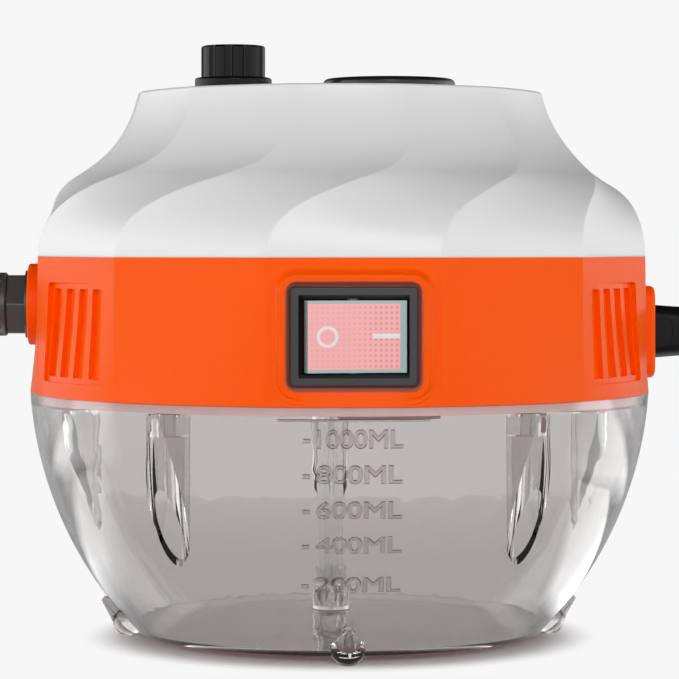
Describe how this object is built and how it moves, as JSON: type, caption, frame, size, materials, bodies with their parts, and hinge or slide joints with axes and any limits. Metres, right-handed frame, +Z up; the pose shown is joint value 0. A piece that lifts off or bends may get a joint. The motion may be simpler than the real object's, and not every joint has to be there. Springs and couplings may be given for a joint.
{
  "type": "wallpaper steamer",
  "caption": "Base unit of a wallpaper steamer: clear water bowl, middle housing with lit rocker switch, gland and steam outlet, twisted faceted cover with filler cap and steam knob.",
  "frame": {"origin": "centre of the round body, on the plane under the feet", "axes": "+Z up, -Y towards the switch, +X towards the steam outlet, -X towards the cable gland"},
  "size_m": [0.236, 0.1796, 0.1716],
  "materials": {
    "bowl_plastic": "clear, polished",
    "housing_plastic": "satin",
    "cover_plastic": "gloss",
    "black_plastic": "gloss",
    "black_nylon": "matte",
    "switch_plastic": "satin",
    "lens_plastic": "clear, dotted inside",
    "white_plastic": "matte",
    "board_laminate": "satin",
    "coil_plastic": "matte",
    "black_rubber": "matte",
    "silicone": "translucent",
    "brass": "satin",
    "steel": "satin",
    "aluminium": "cast",
    "lamp_glass": "clear"
  },
  "bodies": {
    "base_unit": {"tank_bowl": "bowl_plastic", "tank_seal": "black_rubber", "screw_seals": "black_rubber", "mid_housing": "housing_plastic", "top_cover": "cover_plastic", "filler_tube": "white_plastic", "filler_tube_seal": "black_rubber", "control_pot": "steel", "pot_nut": "steel", "control_board": "board_laminate", "switch_housing": "switch_plastic", "switch_blades": "brass", "switch_lamp": "lamp_glass", "gland_body": "black_nylon", "gland_seal": "black_rubber", "gland_nut": "black_nylon", "gland_locknut": "black_nylon", "outlet_fitting": "brass", "outlet_nut": "brass", "hose_boot": "black_rubber", "boiler_block": "aluminium", "boiler_lid": "aluminium", "heater_element": "steel", "boiler_thermostat": "black_nylon", "thermal_fuse": "steel", "boiler_feet": "white_plastic", "pump_core": "brass", "pump_coil": "coil_plastic", "pump_yoke": "steel", "pump_buffers": "black_rubber", "suction_tube": "silicone", "suction_filter": "white_plastic", "deck_grommet": "black_rubber", "feed_tube": "silicone", "steam_tube": "silicone", "terminal_block": "white_plastic"},
    "stopper": {"filler_stopper": "black_nylon", "filler_cap_seal": "black_rubber"},
    "cap": {"filler_cap": "black_plastic"},
    "steam_control": {"steam_knob": "black_plastic", "pot_shaft": "steel"},
    "rocker": {"switch_rocker": "lens_plastic"}
  },
  "joints": [
    {"name": "cap_lift", "type": "slide", "parent": "base_unit", "child": "stopper", "axis": [0, 0, 1], "range_m": [0, 0.04]},
    {"name": "cap_turn", "type": "hinge", "parent": "stopper", "child": "cap", "pos_m": [0.0145, 0, 0.158], "axis": [0, 0, 1], "range_deg": [-90, 90]},
    {"name": "steam_turn", "type": "hinge", "parent": "base_unit", "child": "steam_control", "pos_m": [-0.031, 0, 0.158], "axis": [0, 0, -1], "range_deg": [0, 270]},
    {"name": "rocker_tip", "type": "hinge", "parent": "base_unit", "child": "rocker", "pos_m": [0.0006, -0.08108, 0.08965], "axis": [0, 0, -1], "range_deg": [0, 14]}
  ]
}
